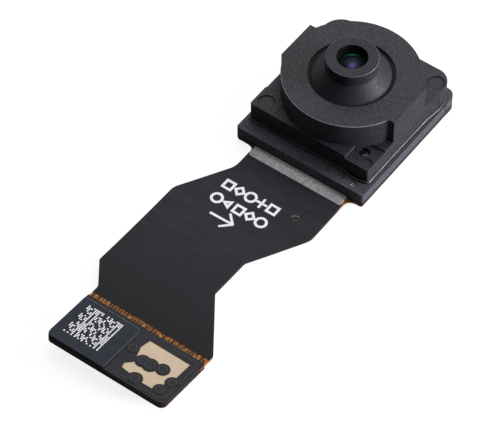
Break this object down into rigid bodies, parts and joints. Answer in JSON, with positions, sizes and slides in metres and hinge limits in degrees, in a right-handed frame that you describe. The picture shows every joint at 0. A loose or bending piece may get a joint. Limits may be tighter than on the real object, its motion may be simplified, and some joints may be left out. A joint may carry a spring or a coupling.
{
  "type": "camera module",
  "caption": "Miniature fixed-focus camera module: a lens holder with a round deck and nose on a moulded frame, and a flat flexible tail ending in a plug board.",
  "frame": {"origin": "on the lens axis, in the plane of the rear stiffener's outer face", "axes": "+Z along the lens axis towards the scene, +Y from the plug towards the head, +X across the tail"},
  "size_m": [0.0099, 0.029, 0.0057],
  "materials": {
    "stiffener_steel": "fine brushed stainless sheet",
    "bonding_film": "thin bonding film, seen only at its edge",
    "polyimide": "amber polyimide with a satin gloss",
    "board_mask": "black solder mask with a fine matte grain",
    "board_laminate": "cut edge of a brown glass-cloth laminate",
    "mould_compound": "black epoxy mould compound, fine matte grain",
    "silicon": "polished silicon with a faint blue tint",
    "gold_plate": "bright gold plating",
    "capacitor_ceramic": "matte ceramic chips with tinned ends",
    "solder": "bright solder",
    "clear_glue": "cured clear glue",
    "filter_glass": "coated flat glass",
    "black_glue": "glossy black glue with a drawn surface",
    "holder_plastic": "black moulded plastic with a fine spark-eroded grain",
    "vent_glue": "small pale glossy drop of glue",
    "barrel_plastic": "black moulded plastic with a very fine grain",
    "lens_plastic": "clear optical plastic with a green and violet coating",
    "relief_glue": "grey cured glue with a speckled surface",
    "cover_film": "black cover film with a fine matte grain",
    "copper": "bare copper traces under clear film",
    "plate_paint": "thin blue-black painted plate with a lighter edge",
    "pad_gold": "pale matte gold plating",
    "plug_plastic": "black liquid crystal polymer"
  },
  "bodies": {
    "root": {"rear_stiffener": "stiffener_steel", "stiffener_adhesive": "bonding_film", "die_attach": "bonding_film", "flex_core": "polyimide", "head_board": "board_mask", "plug_board_top": "board_mask", "plug_board_bottom": "board_laminate", "mould_frame": "mould_compound", "image_sensor": "silicon", "memory_chip": "silicon", "bond_wires": "gold_plate", "plug_contacts": "gold_plate", "plug_hold_downs": "gold_plate", "chip_capacitors": "capacitor_ceramic", "ground_contact": "solder", "filter_glue": "clear_glue", "infrared_filter": "filter_glass", "holder_glue": "black_glue", "barrel_glue": "black_glue", "lens_holder": "holder_plastic", "vent_seal": "vent_glue", "lens_barrel": "barrel_plastic", "lens_spacers": "barrel_plastic", "lens_retaining_ring": "barrel_plastic", "lens_element_1": "lens_plastic", "lens_element_2": "lens_plastic", "lens_element_3": "lens_plastic", "lens_element_4": "lens_plastic", "lens_element_5": "lens_plastic", "strain_relief_bead": "relief_glue", "tail_film_top": "cover_film", "tail_film_bottom": "cover_film", "window_traces": "copper", "marking_plate": "plate_paint", "ground_pad": "pad_gold", "plug_housing": "plug_plastic"}
  },
  "joints": []
}
